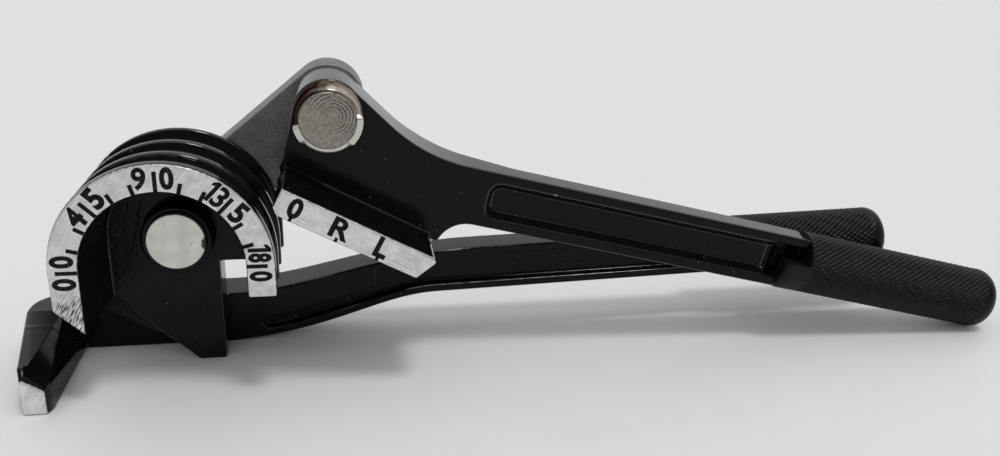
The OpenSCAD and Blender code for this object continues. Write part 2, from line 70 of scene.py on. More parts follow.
# Die with web, vise lug, hook and lower handle: one aluminium casting, sprayed gloss black. The ring's
# front and the hook's tip are then milled bare, and handling wears the paint along the outer edges. Thin
# bare lines along the handle's edges also stand in as a painted highlight on those roundings.
class Wire:
    """One socket of a node tree: sums and products add Math nodes, and node() adds any other node."""

    def __init__(self, tree, socket=None):
        self.tree = tree
        self.socket = socket

    def node(self, kind, settings=None, sockets=None, out=0):
        made = self.tree.nodes.new(kind)
        for name, value in (settings or {}).items():
            setattr(made, name, value)
        for name, value in (sockets or {}).items():
            entry = next(s for s in made.inputs if name in (s.identifier, s.name))
            if isinstance(value, Wire):
                self.tree.links.new(value.socket, entry)
            else:
                entry.default_value = value
        return Wire(self.tree, made.outputs[out] if made.outputs else None)

    def out(self, name):
        return Wire(self.tree, self.socket.node.outputs[name])

    def math(self, operation, first, second=0.0):
        return self.node("ShaderNodeMath", {"operation": operation}, {"Value": first, "Value_001": second})

    def __add__(self, other):
        return self.math("ADD", self, other)

    def __radd__(self, other):
        return self.math("ADD", other, self)

    def __sub__(self, other):
        return self.math("SUBTRACT", self, other)

    def __rsub__(self, other):
        return self.math("SUBTRACT", other, self)

    def __mul__(self, other):
        return self.math("MULTIPLY", self, other)

    def __rmul__(self, other):
        return self.math("MULTIPLY", other, self)

    def __abs__(self):
        return self.math("ABSOLUTE", self)

    def larger(self, first, second):
        return self.math("MAXIMUM", first, second)

    def beyond(self, across, along):
        """Distance from the point that two offsets are measured from."""
        return self.math("SQRT", across * across + along * along)

    def rise(self, low, high):
        """0 below low, 1 above high and smooth between."""
        limits = {"Value": self, "From Min": low, "From Max": high}
        return self.node("ShaderNodeMapRange", {"interpolation_type": "SMOOTHSTEP"}, limits)

    def mix(self, first, second):
        """The first colour where this is 0, the second where it is 1."""
        ends = {"Factor_Float": self, "A_Color": first, "B_Color": second}
        return self.node("ShaderNodeMix", {"data_type": "RGBA"}, ends, out=2)

    def noise(self, scale, detail=2.0):
        """Cloudy noise over these coordinates, about 0.5 on average."""
        settings = {"Vector": self, "Scale": scale, "Detail": detail}
        return self.node("ShaderNodeTexNoise", {}, settings, out="Fac")

    def hatch(self, angle, length, width):
        """Noise drawn out into strokes that lie at an angle in the X and Z plane."""
        strokes = {"Vector": self, "Rotation": (0.0, angle, 0.0), "Scale": (length, 1.0, width)}
        return self.node("ShaderNodeMapping", {"vector_type": "TEXTURE"}, strokes).noise(1.0, 3.0)

    def specks(self, scale, size, share):
        """Scattered round dots: their size is a part of the cell, and share is how many cells have one."""
        cells = self.node("ShaderNodeTexVoronoi", {}, {"Vector": self, "Scale": scale}, out="Distance")
        pick = self.node("ShaderNodeSeparateColor", {}, {"Color": cells.out("Color")}, out="Red")
        return (1.0 - cells.rise(0.6 * size, size)) * pick.rise(1.0 - share, 1.01 - share)

    def apart(self):
        """The three coordinates of a point."""
        parts = self.node("ShaderNodeSeparateXYZ", {}, {"Vector": self}, out="X")
        return parts, parts.out("Y"), parts.out("Z")


def begin_finish(name):
    """A new material, and the piece's own coordinates in millimetres."""
    material = bpy.data.materials.new(name)
    material.use_nodes = True
    material.node_tree.nodes.clear()
    place = Wire(material.node_tree).node("ShaderNodeTexCoord", out="Object")
    to_mm = {"Vector": place, "Scale": 1 / mm}
    return material, place.node("ShaderNodeVectorMath", {"operation": "SCALE"}, to_mm)


def end_finish(place, height, depth, sockets):
    """Closes a material with a bump of the given depth and the shader's own sockets."""
    bump = place.node("ShaderNodeBump", {}, {"Height": height, "Distance": depth})
    shader = place.node("ShaderNodeBsdfPrincipled", {}, {**sockets, "Normal": bump})
    place.node("ShaderNodeOutputMaterial", {}, {"Surface": shader})


milled_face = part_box("die_handle")[0].y


def cast_paint(name, stroke_angle, blemish):
    """Black enamel on a casting: bare where the front is milled, dusty, glossy or worn on the roundings."""
    material, place = begin_finish(name)
    x, y, z = place.apart()
    grime, wrinkle, rub = blemish(place, x, y, z)
    ragged = place.noise(1.3) * 0.3
    milled = (milled_face / mm - y + ragged).rise(-0.12, 0.02) * (1.0 - grime)
    edge = place.node("ShaderNodeAttribute", {"attribute_name": "outer_rounding"}, out="Fac")
    pooled = place.node("ShaderNodeAttribute", {"attribute_name": "smooth_edge"}, out="Fac")
    patches = place.noise(0.21, 4.0).rise(0.70, 0.76)
    chips = patches * place.noise(0.9, 3.0).rise(0.38, 0.52)
    # Thin bare lines along the roundings: worn paint, and on the handle also a painted highlight along its
    # edges.
    thin = rub * (0.15 + place.noise(0.3, 3.0).rise(0.36, 0.56) * 0.4)
    bare = place.larger(milled, edge * place.larger(chips, thin))
    strokes = place.hatch(stroke_angle, 9.0, 0.16) * 0.6 + place.hatch(stroke_angle + 0.9, 5.0, 0.1) * 0.4
    cloud = place.noise(0.35, 3.0)
    shine = (strokes * 0.7 + cloud * 0.3).rise(0.34, 0.66)
    bright = shine.mix((0.58, 0.58, 0.57, 1), (0.97, 0.97, 0.95, 1))
    metal = (place.specks(0.9, 0.13, 0.25) * 0.8).mix(bright, (0.06, 0.06, 0.06, 1))
    enamel = cloud.mix((0.002, 0.002, 0.0025, 1), (0.006, 0.006, 0.0065, 1))
    dust = place.specks(0.48, 0.085, 0.28)
    dusty = (dust * 0.7).mix(enamel, (0.30, 0.30, 0.295, 1))
    gloss = 0.09 + cloud * 0.10 + dust * 0.4
    peel = place.noise(0.62, 2.0) * 0.8 + place.noise(2.6, 2.0) * 0.2 + dust * 2.5 + wrinkle
    end_finish(place, peel * (1.0 - bare) + strokes * bare * 0.35, 0.03 * mm, {
        "Base Color": bare.mix(dusty, metal),
        "Metallic": bare,
        "Roughness": gloss * (1.0 - bare) + (0.40 + strokes * 0.16) * bare,
        "Specular IOR Level": 0.14,
        "Coat Weight": pooled * (1.0 - bare),
        "Coat Roughness": 0.06,
    })
    return material


def die_blemish(place, x, y, z):
    """Paint dragged over the ring's lower end, wrinkled and cracked on the web; thin bare lines on the
    handle: wear and painted highlight.
    """
    ring_end_x = -20.4
    ring_end_z = 24.6
    web_front = -16.0
    crack_foot = -20.1
    crack_lean = 0.27
    wrinkle_height = 7.0
    handle_front = -6.0
    handle_rise = 0.03
    reach = place.beyond(x - ring_end_x, z - ring_end_z)
    smear = (1.0 - reach.rise(2.5, 8.0)) * place.hatch(radians(-60), 2.6, 0.2).rise(0.48, 0.56)
    on_web = (1.0 - abs(y - web_front).rise(0.6, 1.2)) * (0.0 - x).rise(7.0, 9.5)
    wander = (place.noise(0.55, 3.0) - 0.5) * 4.0
    line = abs(x - crack_foot - z * crack_lean + wander)
    crack = on_web * (1.0 - line.rise(0.08, 0.4)) * z.rise(26.0, 32.0)
    # Thin bare lines along the handle's top front edge and lower flange: partly worn paint, partly a
    # painted highlight.
    level = z - x * handle_rise
    lower_flange = level.rise(11.3, 11.7) * (1.0 - level.rise(14.0, 15.0))
    lower_flange_highlight_rub = lower_flange * x.rise(50.0, 57.0) * (1.5 - x.rise(66.0, 84.0)) * (1.0 - x.rise(96.0, 150.0))
    top_edge_highlight_rub = level.rise(21.9, 22.2) * x.rise(63.0, 66.0) * (1.0 - x.rise(72.0, 76.0)) * 1.6
    rub = (lower_flange_highlight_rub + top_edge_highlight_rub) * (1.0 - (y - handle_front).rise(0.2, 0.8))
    return smear, (on_web * place.noise(0.9, 5.0) + crack) * wrinkle_height, rub


def clear_width(edge, sharp, reach):
    """Width of plain face beside an edge, up to a reach, before the next sharp edge across from it."""
    start, end = (corner.co for corner in edge.verts)
    along = (end - start).normalized()
    middle = (start + end) / 2
    half = edge.calc_length() / 2
    for face in edge.link_faces:
        for other in face.edges:
            if other not in sharp or set(other.verts) & set(edge.verts):
                continue
            near, far = (corner.co - middle for corner in other.verts)
            for share in (0.0, 0.25, 0.5, 0.75, 1.0):
                point = near.lerp(far, share)
                offset = point.dot(along)
                if abs(offset) <= half:
                    reach = min(reach, (point - along * offset).length)
    return reach


def segment_gap(spot, start, end):
    """Distance from a point to a straight edge."""
    share = intersect_point_line(spot, start, end)[1]
    return (spot - start.lerp(end, min(1.0, max(0.0, share)))).length


def stray_corners(mesh, surface, limit):
    """Corners that a rounding has carried off the solid's surface, each with its distance."""
    found = ((vertex.co.copy(), surface.find_nearest(vertex.co)[3]) for vertex in mesh.vertices)
    return [(spot, gap) for spot, gap in found if gap > limit]


def holds(box, spot):
    """Whether a point lies in a box of two corners."""
    return all(low <= part <= high for low, part, high in zip(box[0], spot, box[1]))


def solid_mesh(piece):
    """The mesh of an object with its modifiers carried out; the object itself is removed."""
    graph = bpy.context.evaluated_depsgraph_get()
    mesh = bpy.data.meshes.new_from_object(
        piece.evaluated_get(graph), preserve_all_data_layers=True, depsgraph=graph)
    bpy.data.objects.remove(piece)
    return mesh


def scratch_object(name, data):
    """A new object in the scene for a mesh, a curve or a lamp."""
    piece = bpy.data.objects.new(name, data)
    bpy.context.scene.collection.objects.link(piece)
    return piece


def rounded(shape, rounding):
    """The mesh of a shape with its edges rounded by their weights. Roundings have the second material."""
    mesh = bpy.data.meshes.new("rounded")
    shape.to_mesh(mesh)
    mesh.materials.append(None)
    mesh.materials.append(None)
    piece = scratch_object("rounded", mesh)
    bevel = piece.modifiers.new("rounding", "BEVEL")
    bevel.limit_method = "WEIGHT"
    bevel.width = rounding
    bevel.segments = 3
    bevel.use_clamp_overlap = False
    bevel.material = 1
    return solid_mesh(piece)


def eased_copy(node, rounding, cover=None):
    """A casting's solid with its sharp edges rounded, but not those inside another piece's cover.

    A rounding takes a share of the face beside it, and shrinks where it strays from the solid.
    smooth_edge is 1 along the middle of the roundings, and outer_rounding along the outer ones alone.
    """
    same_point = 0.03 * mm
    no_length = 0.01 * mm
    flat_angle = radians(0.7)
    sharp_angle = radians(28)
    face_share = 0.4
    widest_face = 4 * mm
    stray_limit = 0.75 * rounding
    stray_reach = 1.5 * rounding
    least_weight = 0.05
    most_trials = 8
    shape = bmesh.new()
    shape.from_mesh(frame["nodes"][node].data)
    weight = shape.edges.layers.float.new("bevel_weight_edge")
    bmesh.ops.remove_doubles(shape, verts=shape.verts, dist=same_point)
    bmesh.ops.dissolve_degenerate(shape, edges=shape.edges, dist=no_length)
    bmesh.ops.dissolve_limit(shape, verts=shape.verts, edges=shape.edges, angle_limit=flat_angle)
    surface = BVHTree.FromBMesh(shape)
    sharp = {edge for edge in shape.edges if abs(edge.calc_face_angle_signed(0.0)) > sharp_angle}
    for edge in sharp:
        if not (cover and all(holds(cover, corner.co) for corner in edge.verts)):
            edge[weight] = min(1.0, face_share * clear_width(edge, sharp, widest_face) / rounding)
    for _ in range(most_trials):
        mesh = rounded(shape, rounding)
        strays = stray_corners(mesh, surface, stray_limit)
        if not strays:
            break
        for edge in sharp:
            ends = [corner.co for corner in edge.verts]
            near = min(segment_gap(spot, *ends) - gap for spot, gap in strays)
            if near < stray_reach:
                edge[weight] = edge[weight] / 2 if edge[weight] > least_weight else 0.0
    shape.clear()
    shape.from_mesh(mesh)
    worn = shape.faces.layers.float.new("outer_rounding")
    smooth = shape.faces.layers.float.new("smooth_edge")
    for face in shape.faces:
        outer = sum(edge.calc_face_angle_signed(0.0) for edge in face.edges) > 0
        around = [other.material_index for edge in face.edges for other in edge.link_faces]
        face[smooth] = float(min(around) == 1)
        face[worn] = face[smooth] * outer
    for face in shape.faces:
        face.material_index = 0
        face.smooth = True
    shape.to_mesh(mesh)
    shape.free()
    piece = scratch_object(node + "_eased", mesh)
    piece.modifiers.new("even shading", "WEIGHTED_NORMAL").keep_sharp = True
    return solid_mesh(piece)


def fit_piece(name, mesh, finish, body, slot, *nodes):
    """Puts a finished mesh on its body, in place of the solids that it stands for."""
    piece = scratch_object(name, mesh)
    mesh.materials.clear()
    mesh.materials.append(finish)
    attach(piece, body)
    if nodes:
        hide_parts(*nodes)


cast_rounding = 0.6 * mm
die_paint = cast_paint("die_black_enamel", radians(-55), die_blemish)
die_mesh = eased_copy("die_handle", cast_rounding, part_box("handle_grip"))
fit_piece("die_and_handle", die_mesh, die_paint, "base", "black_paint", "die_handle")


# Dial on the milled ring: bend angles and fifteen-degree ticks, struck into the metal with steel punches
# and filled with black ink, the digits set on both sides of their tick.
def pivot(name):
    """A point on the axis of one of the frame's joints."""
    return Vector(next(joint["pos_m"] for joint in frame["joints"] if joint["name"] == name))


die_axis = pivot("link_swing")
ink_proud = 0.03 * mm
ink_depth = 0.12 * mm
digit_height = 5.3 * mm
digit_middle = 21.6 * mm
bold_stroke = 0.045
slim_stroke = 0.03
slim_characters = "39R"
# Each row is an angle of the dial, a digit, its shift along the ring and its width, both in millimetres.
dial_digits = (
    (0, "0", -2.7, 3.0), (0, "0", 2.75, 3.0),
    (45, "4", -3.2, 3.3), (45, "5", 3.0, 3.1),
    (90, "9", -3.3, 3.1), (90, "0", 2.6, 3.1),
    (135, "1", -4.65, 1.8), (135, "3", -2.2, 2.7), (135, "5", 3.2, 3.0),
    (180, "1", -4.4, 1.8), (180, "8", -2.1, 2.3), (180, "0", 2.5, 2.6),
)


def stamp_ink(name):
    """Black filling of a stamped mark, thin and grey where it is rubbed."""
    material, place = begin_finish(name)
    rubbed = place.noise(1.6, 4.0).rise(0.62, 0.72)
    end_finish(place, place.noise(3.0), 0.02 * mm, {
        "Base Color": rubbed.mix((0.003, 0.003, 0.003, 1), (0.05, 0.05, 0.049, 1)),
        "Roughness": 0.45 + rubbed * 0.3,
        "Specular IOR Level": 0.15,
    })
    return material


def plain_character(text):
    """A character of the plain typeface, thickened as far as its inner corners allow."""
    letter = bpy.data.curves.new("mark", "FONT")
    letter.body = text
    letter.offset = slim_stroke if text in slim_characters else bold_stroke
    letter.resolution_u = 4
    letter.extrude = 0.5
    return solid_mesh(scratch_object("mark", letter))


def flagged_one():
    """The digit 1 with a short flag at the top of its stem, in a box one wide and one high."""
    stem = 0.47
    cap = 0.55
    flag_top = 0.84
    flag_tip = 0.68
    flag_root = 0.76
    outline = ((stem, 0.0), (1.0, 0.0), (1.0, 1.0), (cap, 1.0),
               (0.0, flag_top), (0.0, flag_tip), (stem, flag_root))
    shape = bmesh.new()
    back, front = ([shape.verts.new((*point, level)) for point in outline] for level in (0.0, 1.0))
    shape.faces.new(back)
    shape.faces.new(front)
    for side in range(len(outline)):
        shape.faces.new((back[side - 1], back[side], front[side], front[side - 1]))
    mesh = bpy.data.meshes.new("mark")
    shape.to_mesh(mesh)
    shape.free()
    return mesh


def stamped(text, width, height, right, up, middle):
    """One stamped character, scaled to its size and laid on the milled face about a point."""
    mesh = flagged_one() if text == "1" else plain_character(text)
    corners = [vertex.co for vertex in mesh.vertices]
    low = Vector(map(min, *corners))
    high = Vector(map(max, *corners))
    size = Vector((width, height, ink_proud + ink_depth))
    scale = Matrix.Diagonal([a / b for a, b in zip(size, high - low)]).to_4x4()
    facing = right.cross(up)
    lie = Matrix((right, up, facing)).transposed().to_4x4()
    seat = Matrix.Translation(middle + facing * (ink_proud - ink_depth) / 2)
    mesh.transform(seat @ lie @ scale @ Matrix.Translation((low + high) / -2))
    return mesh


def joined(meshes):
    """One mesh of several; the parts are removed."""
    shape = bmesh.new()
    for mesh in meshes:
        shape.from_mesh(mesh)
        bpy.data.meshes.remove(mesh)
    bmesh.ops.remove_doubles(shape, verts=shape.verts, dist=0.001 * mm)
    bmesh.ops.recalc_face_normals(shape, faces=shape.faces)
    whole = bpy.data.meshes.new("joined")
    shape.to_mesh(whole)
    shape.free()
    return whole


def dial_digit(angle, text, shift, width):
    """One digit of the dial, upright along the ring's radius."""
    turn = radians(angle)
    outward = Vector((-cos(turn), 0.0, sin(turn)))
    onward = Vector((sin(turn), 0.0, cos(turn)))
    middle = die_axis + outward * digit_middle + onward * shift * mm
    middle.y = milled_face
    return stamped(text, width * mm, digit_height, onward, outward, middle)


dial_ink = stamp_ink("dial_ink")
fit_piece("dial_digits", joined([dial_digit(*row) for row in dial_digits]), dial_ink, "base", "black_paint")


def node_tree(name, sizes):
    """A geometry tree with named inputs; gives the tree, its inputs as wires and their identifiers."""
    tree = bpy.data.node_groups.new(name, "GeometryNodeTree")
    tree.interface.new_socket("Geometry", in_out="OUTPUT", socket_type="NodeSocketGeometry")
    named = {"Geometry": "NodeSocketGeometry", **sizes, "Finish": "NodeSocketMaterial"}
    for title, kind in named.items():
        tree.interface.new_socket(title, in_out="INPUT", socket_type=kind)
    keys = {item.name: item.identifier for item in tree.interface.items_tree if item.in_out == "INPUT"}
    return tree, Wire(tree).node("NodeGroupInput"), keys


def close_tree(entry, shape):
    """Ends a geometry tree in plain faces that carry the finish."""
    plain = entry.node("GeometryNodeRealizeInstances", {}, {"Geometry": shape})
    dressed = entry.node("GeometryNodeSetMaterial", {}, {
        "Geometry": plain, "Material": entry.out("Finish")})
    entry.node("NodeGroupOutput", {}, {"Geometry": dressed})


def grown(name, mesh, tree, keys, values):
    """The plain mesh that a geometry tree makes from a start mesh and its named sizes."""
    piece = scratch_object(name, mesh)
    maker = piece.modifiers.new(name, "NODES")
    maker.node_group = tree
    for title, value in values.items():
        maker[keys[title]] = value
    return solid_mesh(piece)


tick_tree, ticks, tick_keys = node_tree("dial_ticks", {
    "Count": "NodeSocketInt", "Step": "NodeSocketFloat", "Long Every": "NodeSocketInt",
    "Inner Radius": "NodeSocketFloat", "Long": "NodeSocketFloat", "Short": "NodeSocketFloat",
    "Width": "NodeSocketFloat", "Depth": "NodeSocketFloat"})
number = ticks.node("GeometryNodeInputIndex")
angle = pi - number * ticks.out("Step")
is_long = ticks.math("COMPARE", ticks.math("FLOORED_MODULO", number, ticks.out("Long Every")), 0.0)
length = ticks.out("Short") + is_long * (ticks.out("Long") - ticks.out("Short"))
radius = ticks.out("Inner Radius") + length * 0.5
spot = ticks.node("ShaderNodeCombineXYZ", {}, {
    "X": radius * ticks.math("COSINE", angle), "Z": radius * ticks.math("SINE", angle)})
points = ticks.node("GeometryNodePoints", {}, {"Count": ticks.out("Count"), "Position": spot})
block = ticks.node("GeometryNodeMeshCube", {}, {"Size": (1.0, 1.0, 1.0)})
lean = ticks.node("ShaderNodeCombineXYZ", {}, {"Y": 0.0 - angle})
size = ticks.node("ShaderNodeCombineXYZ", {}, {
    "X": length, "Y": ticks.out("Depth"), "Z": ticks.out("Width")})
close_tree(ticks, ticks.node("GeometryNodeInstanceOnPoints", {}, {
    "Points": points, "Instance": block, "Rotation": lean, "Scale": size}))
tick_mesh = grown("dial_ticks", bpy.data.meshes.new("dial_ticks"), tick_tree, tick_keys, {
    "Count": 13, "Step": radians(15), "Long Every": 3, "Inner Radius": 18.55 * mm, "Long": 4.7 * mm,
    "Short": 2.5 * mm, "Width": 0.95 * mm, "Depth": ink_proud + ink_depth, "Finish": dial_ink})
tick_mesh.transform(Matrix.Translation((0.0, milled_face + (ink_depth - ink_proud) / 2, die_axis.z)))
fit_piece("dial_tick_marks", tick_mesh, dial_ink, "base", "black_paint")


# Grips: matte black plastic sleeves pressed over a tang on each bar, with a rounded end and a mouth that
# steps back over the bar's upper half. They are rolled with slanting ridges, nicked by fainter cross cuts.
knurl_tree, knurl, knurl_keys = node_tree("rolled_ridges", {
    "Starts": "NodeSocketInt", "Lead": "NodeSocketFloat", "Depth": "NodeSocketFloat",
    "Mouth Step": "NodeSocketFloat", "Step Height": "NodeSocketFloat"})
where = knurl.node("GeometryNodeInputPosition")
along, out_y, out_z = where.apart()
round_share = knurl.math("ARCTAN2", out_z, out_y) * (1 / tau)


def ridges(slant):
    """Round-topped ridges that climb round the sleeve: 1 on the crest and 0 in the groove."""
    turn = round_share * knurl.out("Starts") + along * slant
    groove = 1.0 - abs(knurl.math("FRACT", turn) - 0.5) * 2.0
    return 1.0 - groove * groove


climb = knurl.math("DIVIDE", 1.0, knurl.out("Lead"))
rolled_share = knurl.node("GeometryNodeInputNamedAttribute", {"data_type": "FLOAT"}, {"Name": "rolled"})
relief = ridges(climb) * 0.75 + ridges(0.0 - climb * 0.8) * 0.25
sink = (relief - 1.0) * knurl.out("Depth") * rolled_share
off_axis = knurl.node("ShaderNodeCombineXYZ", {}, {"Y": out_y, "Z": out_z})
outward = knurl.node("ShaderNodeVectorMath", {"operation": "NORMALIZE"}, {"Vector": off_axis})
shift = knurl.node("ShaderNodeVectorMath", {"operation": "SCALE"}, {"Vector": outward, "Scale": sink})
sleeve = knurl.node("GeometryNodeSetPosition", {}, {"Geometry": knurl.out("Geometry"), "Offset": shift})
bite = 40 * mm
bite_middle = knurl.node("ShaderNodeCombineXYZ", {}, {
    "X": knurl.out("Mouth Step") - bite / 2, "Z": knurl.out("Step Height") + bite / 2})
bite_block = knurl.node("GeometryNodeMeshCube", {}, {"Size": (bite, bite, bite)})
cutter = knurl.node("GeometryNodeTransform", {}, {"Geometry": bite_block, "Translation": bite_middle})
close_tree(knurl, knurl.node("GeometryNodeMeshBoolean", {"operation": "DIFFERENCE", "solver": "EXACT"}, {
    "Mesh 1": sleeve, "Mesh 2": cutter}))


def grip_plastic(name):
    """Matte black sleeve with a fine grain, greyed a little by hands."""
    material, place = begin_finish(name)
    rub = place.noise(0.16, 3.0)
    grain = place.noise(4.0, 2.0)
    end_finish(place, grain, 0.02 * mm, {
        "Base Color": rub.mix((0.003, 0.003, 0.0032, 1), (0.008, 0.008, 0.008, 1)),
        "Roughness": 0.28 + grain * 0.16,
        "Specular IOR Level": 0.18,
    })
    return material


def quarter(steps, first=0):
    """Sine and cosine at even steps of a quarter turn."""
    return [(sin(bend), cos(bend)) for bend in (step / steps * pi / 2 for step in range(first, steps + 1))]


def join_rings(shape, rings):
    """Faces from each ring of corners to the next; a ring of one corner is a pole."""
    for first, second in pairwise(rings):
        sides = max(len(first), len(second))
        for side in range(sides):
            following = (side + 1) % sides
            corners = (first[side % len(first)], first[following % len(first)],
                       second[following % len(second)], second[side % len(second)])
            shape.faces.new(dict.fromkeys(corners))
    bmesh.ops.recalc_face_normals(shape, faces=shape.faces)


def grip_sleeve(length):
    """Plain sleeve along X: bore, mouth, round barrel and end. rolled is 1 where ridges go."""
    barrel = 8.5 * mm
    end_round = 4 * mm
    end_wall = 5 * mm
    mouth_round = 2.2 * mm
    tang = 4.04 * mm
    plain_start = 3.6 * mm
    start_fade = 2.4 * mm
    end_fade = 1.5 * mm
    straight = length - end_round - mouth_round
    row_step = 0.32 * mm
    rows = round(length / row_step)
    sides = 264
    profile = [(length - end_wall, 0.0, 0), (length - end_wall, tang, 0), (0.0, tang, 0)]
    for rise, fall in quarter(8):
        profile.append((mouth_round - mouth_round * fall, barrel - mouth_round + mouth_round * rise, 0))
    for step in range(1, rows + 1):
        run = step / rows * straight
        covered = min(1.0, (run - plain_start) / start_fade, (straight - run) / end_fade)
        profile.append((mouth_round + run, barrel, max(0.0, covered)))
    for rise, fall in quarter(12, first=1):
        profile.append((length - end_round + end_round * rise, barrel - end_round + end_round * fall, 0))
    profile.append((length, 0.0, 0))
    shape = bmesh.new()
    rolled = shape.verts.layers.float.new("rolled")
    rings = []
    for spot, radius, covered in profile:
        ring = []
        for side in range(sides if radius else 1):
            turn = tau * side / sides
            corner = shape.verts.new((spot, radius * cos(turn), radius * sin(turn)))
            corner[rolled] = covered
            ring.append(corner)
        rings.append(ring)
    join_rings(shape, rings)
    mesh = bpy.data.meshes.new("sleeve")
    shape.to_mesh(mesh)
    shape.free()
    return mesh


def grip(name, length, start, slope, body):
    """A sleeve with its ridges rolled, set at its start point along its bar's slope."""
    mesh = grown(name, grip_sleeve(length), knurl_tree, knurl_keys, {
        "Starts": 36, "Lead": 1.9 * mm, "Depth": 0.6 * mm, "Mouth Step": 6.8 * mm, "Step Height": 1 * mm,
        "Finish": grip_black})
    mesh.transform(Matrix.Translation(start) @ Matrix.Rotation(-slope, 4, "Y"))
    mesh.shade_smooth()
    mesh.set_sharp_from_angle(angle=radians(60))
    fit_piece(name + "_knurled", mesh, grip_black, body, "grip", name)


grip_black = grip_plastic("grip_black")
handle_slope = radians(1.7)
handle_grip_start = Vector((147.8, -0.5, 20.77)) * mm
handle_grip_length = 52 * mm
grip("handle_grip", handle_grip_length, handle_grip_start, handle_slope, "base")


# Link: a flat aluminium bar between the two pivots, shot-blasted and painted thin grey-black, so it looks
# dusty beside the castings. A bronze bush is pressed into each eye, and a steel washer keeps the eye off
# the casting in front of it.
def blasted_paint(name):
    """Thin dark paint over blasted metal: speckled, dull, and pale along the edges as rubbed paint and
    painted highlight.
    """
    material, place = begin_finish(name)
    edge = place.node("ShaderNodeAttribute", {"attribute_name": "outer_rounding"}, out="Fac")
    speckle = place.noise(3.2, 4.0)
    film = (speckle * 0.85 + place.noise(0.3, 2.0) * 0.15).rise(0.35, 0.7)
    grey = film.mix((0.055, 0.055, 0.054, 1), (0.23, 0.23, 0.22, 1))
    # Pale rim along the outer roundings: thinly rubbed paint, and also a painted highlight on the rounded
    # edges.
    rubbed = edge * (0.45 + place.noise(0.8, 3.0) * 0.5)
    end_finish(place, speckle, 0.03 * mm, {
        "Base Color": rubbed.mix(grey, (0.34, 0.34, 0.33, 1)),
        "Metallic": rubbed * 0.4,
        "Roughness": 0.52 - film * 0.08,
    })
    return material


def plain_metal(name, colour, dark, pale):
    """Plain metal with a fine grain, stained between a dark and a pale share of its colour."""
    material, place = begin_finish(name)
    stain = place.noise(0.5, 4.0)
    grain = place.noise(5.0, 2.0)
    shades = ((*(share * part for part in colour), 1) for share in (dark, pale))
    end_finish(place, grain, 0.01 * mm, {
        "Base Color": stain.mix(*shades),
        "Metallic": 1.0,
        "Roughness": 0.30 + stain * 0.22,
    })
    return material


def dress(finish, *nodes):
    """Gives a finish to solids that are shown as they are."""
    for node in nodes:
        frame["nodes"][node].data.materials.clear()
        frame["nodes"][node].data.materials.append(finish)


link_rounding = 0.5 * mm
link_mesh = eased_copy("link", link_rounding)
fit_piece("pivot_link", link_mesh, blasted_paint("link_paint"), "link_arm", "link_paint", "link")
bush_bronze = plain_metal("bush_bronze", (0.70, 0.50, 0.28), 0.7, 1.0)
dress(bush_bronze, "link_die_bush", "link_lever_bush")
washer_steel = plain_metal("washer_steel", (0.62, 0.62, 0.60), 0.75, 1.05)
dress(washer_steel, "die_thrust_washer", "lever_thrust_washer")


# Die pivot: a steel pin with a flat ground head, riveted over a washer behind the link. A black collar
# stands round the head on the web, and one side of the head's rim is coloured dark.
def turned(name, profile, axis, closed=False):
    """A shape turned about an axis along Y. Its profile gives radius and depth for each angle round it."""
    sides = 128
    shape = bmesh.new()
    rows = [(turn, profile(turn)) for turn in (tau * side / sides for side in range(sides))]
    rings = []
    for step, (radius, _) in enumerate(profile(0.0)):
        ring = []
        for turn, points in rows if radius else rows[:1]:
            out, depth = points[step]
            ring.append(shape.verts.new((axis.x + out * cos(turn), depth, axis.z + out * sin(turn))))
        rings.append(ring)
    join_rings(shape, rings + rings[:1] if closed else rings)
    mesh = bpy.data.meshes.new(name)
    shape.to_mesh(mesh)
    shape.free()
    mesh.shade_smooth()
    mesh.set_sharp_from_angle(angle=radians(50))
    piece = scratch_object(name, mesh)
    piece.modifiers.new("even shading", "WEIGHTED_NORMAL").keep_sharp = True
    return solid_mesh(piece)


def eased(points, radius, closed=False):
    """A profile with its corners rounded, the ends left as they are unless it is a loop."""
    most_share = 0.45
    result = []
    count = len(points)
    for index, corner in enumerate(points):
        if not closed and index in (0, count - 1):
            result.append(corner)
            continue
        here = Vector(corner)
        before = Vector(points[index - 1]) - here
        after = Vector(points[(index + 1) % count]) - here
        ease = min(radius, most_share * before.length, most_share * after.length)
        entry = here + before.normalized() * ease
        leave = here + after.normalized() * ease
        for step in range(5):
            share = step / 4
            result.append(tuple(entry.lerp(here, share).lerp(here.lerp(leave, share), share)))
    return result


def pin_shape(node, seat):
    """Head, shank and riveted end of a pin, from its front face to its back."""
    low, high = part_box(node)
    head = (high.x - low.x) / 2
    axis = (low + high) / 2
    shank = 5.0 * mm
    rivet = 6.5 * mm
    washer_back = 6.3 * mm
    rivet_rim = 0.8 * mm
    dome_foot = washer_back + rivet_rim
    edge_round = 0.4 * mm
    front = eased([(0.0, low.y), (head, low.y), (head, seat), (shank, seat), (shank, washer_back),
                   (rivet, washer_back), (rivet, dome_foot)], edge_round)
    dome = [(rivet * fall, dome_foot + (high.y - dome_foot) * rise)
            for rise, fall in quarter(8, first=1)[:-1]]
    return turned(node + "_turned", lambda turn: front + dome + [(0.0, high.y)], axis)


collar_gap = 0.04 * mm


def collar_shape(node, head, bead):
    """Ring round a pin's head with a round bead at its front."""
    low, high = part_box(node)
    axis = (low + high) / 2
    outer = (high.x - low.x) / 2
    inner = head + collar_gap
    setback = 0.15 * mm
    loop = [(inner, high.y), (inner, low.y + setback)]
    for rise, fall in quarter(8):
        loop.append((outer - bead + bead * rise, low.y + bead - bead * fall))
    loop.append((outer, high.y))
    return turned(node + "_turned", lambda turn: loop, axis, closed=True)


def washer_shape(node, bore):
    """Punched washer with softened rims."""
    low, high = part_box(node)
    outer = (high.x - low.x) / 2
    edge_round = 0.3 * mm
    loop = eased([(bore, low.y), (outer, low.y), (outer, high.y), (bore, high.y)], edge_round, closed=True)
    return turned(node + "_turned", lambda turn: loop, (low + high) / 2, closed=True)


